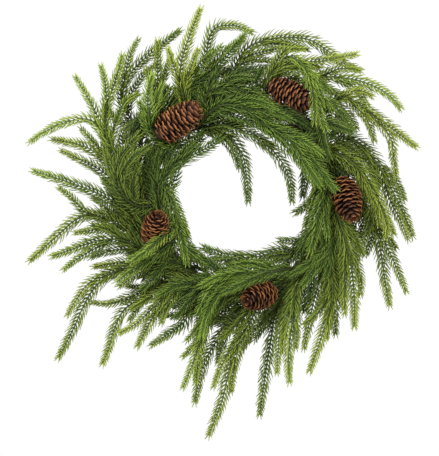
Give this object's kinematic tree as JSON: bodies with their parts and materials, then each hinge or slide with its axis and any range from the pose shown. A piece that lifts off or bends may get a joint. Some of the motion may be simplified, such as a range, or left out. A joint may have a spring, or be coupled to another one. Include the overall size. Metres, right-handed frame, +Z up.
{
  "type": "evergreen wreath",
  "caption": "Round hanging wreath of drooping, soft-needled evergreen sprigs set in a twisted vine ring, with open pine cones on wires across its face.",
  "frame": {"origin": "inner top of the vine ring, the place that rests on a hook; the ring's centre is 118.65 mm below it", "axes": "+Z up, the wreath hangs in the XZ plane and faces -Y, its back to a wall or door on +Y"},
  "size_m": [0.5509, 0.0911, 0.6081],
  "materials": {
    "evergreen": "fresh green needles, satin",
    "vine_bark": "rough dark bark",
    "pine_cone": "dry woody scales, matte",
    "florist_wire": "dark green lacquer"
  },
  "bodies": {
    "root": {"cone_1": "pine_cone", "cone_1_wire": "florist_wire", "cone_2": "pine_cone", "cone_2_wire": "florist_wire", "cone_3": "pine_cone", "cone_3_wire": "florist_wire", "cone_4": "pine_cone", "cone_4_wire": "florist_wire", "cone_5": "pine_cone", "cone_5_wire": "florist_wire", "sprig_crown_1": "evergreen", "sprig_crown_2": "evergreen", "sprig_crown_3": "evergreen", "sprig_crown_4": "evergreen", "sprig_face_1": "evergreen", "sprig_face_10": "evergreen", "sprig_face_11": "evergreen", "sprig_face_2": "evergreen", "sprig_face_3": "evergreen", "sprig_face_4": "evergreen", "sprig_face_5": "evergreen", "sprig_face_6": "evergreen", "sprig_face_7": "evergreen", "sprig_face_8": "evergreen", "sprig_face_9": "evergreen", "sprig_foot_1": "evergreen", "sprig_foot_2": "evergreen", "sprig_foot_3": "evergreen", "sprig_foot_4": "evergreen", "sprig_foot_5": "evergreen", "sprig_foot_6": "evergreen", "sprig_foot_7": "evergreen", "sprig_inner_1": "evergreen", "sprig_inner_2": "evergreen", "sprig_inner_3": "evergreen", "sprig_inner_4": "evergreen", "sprig_inner_5": "evergreen", "sprig_inner_6": "evergreen", "sprig_left_1": "evergreen", "sprig_left_2": "evergreen", "sprig_left_3": "evergreen", "sprig_left_4": "evergreen", "sprig_left_5": "evergreen", "sprig_left_6": "evergreen", "sprig_left_7": "evergreen", "sprig_left_8": "evergreen", "sprig_left_9": "evergreen", "sprig_right_1": "evergreen", "sprig_right_2": "evergreen", "sprig_right_3": "evergreen", "sprig_right_4": "evergreen", "sprig_right_5": "evergreen", "sprig_right_6": "evergreen", "sprig_right_7": "evergreen", "sprig_right_8": "evergreen", "sprig_right_9": "evergreen", "vine_1": "vine_bark", "vine_2": "vine_bark", "vine_3": "vine_bark"}
  },
  "joints": []
}
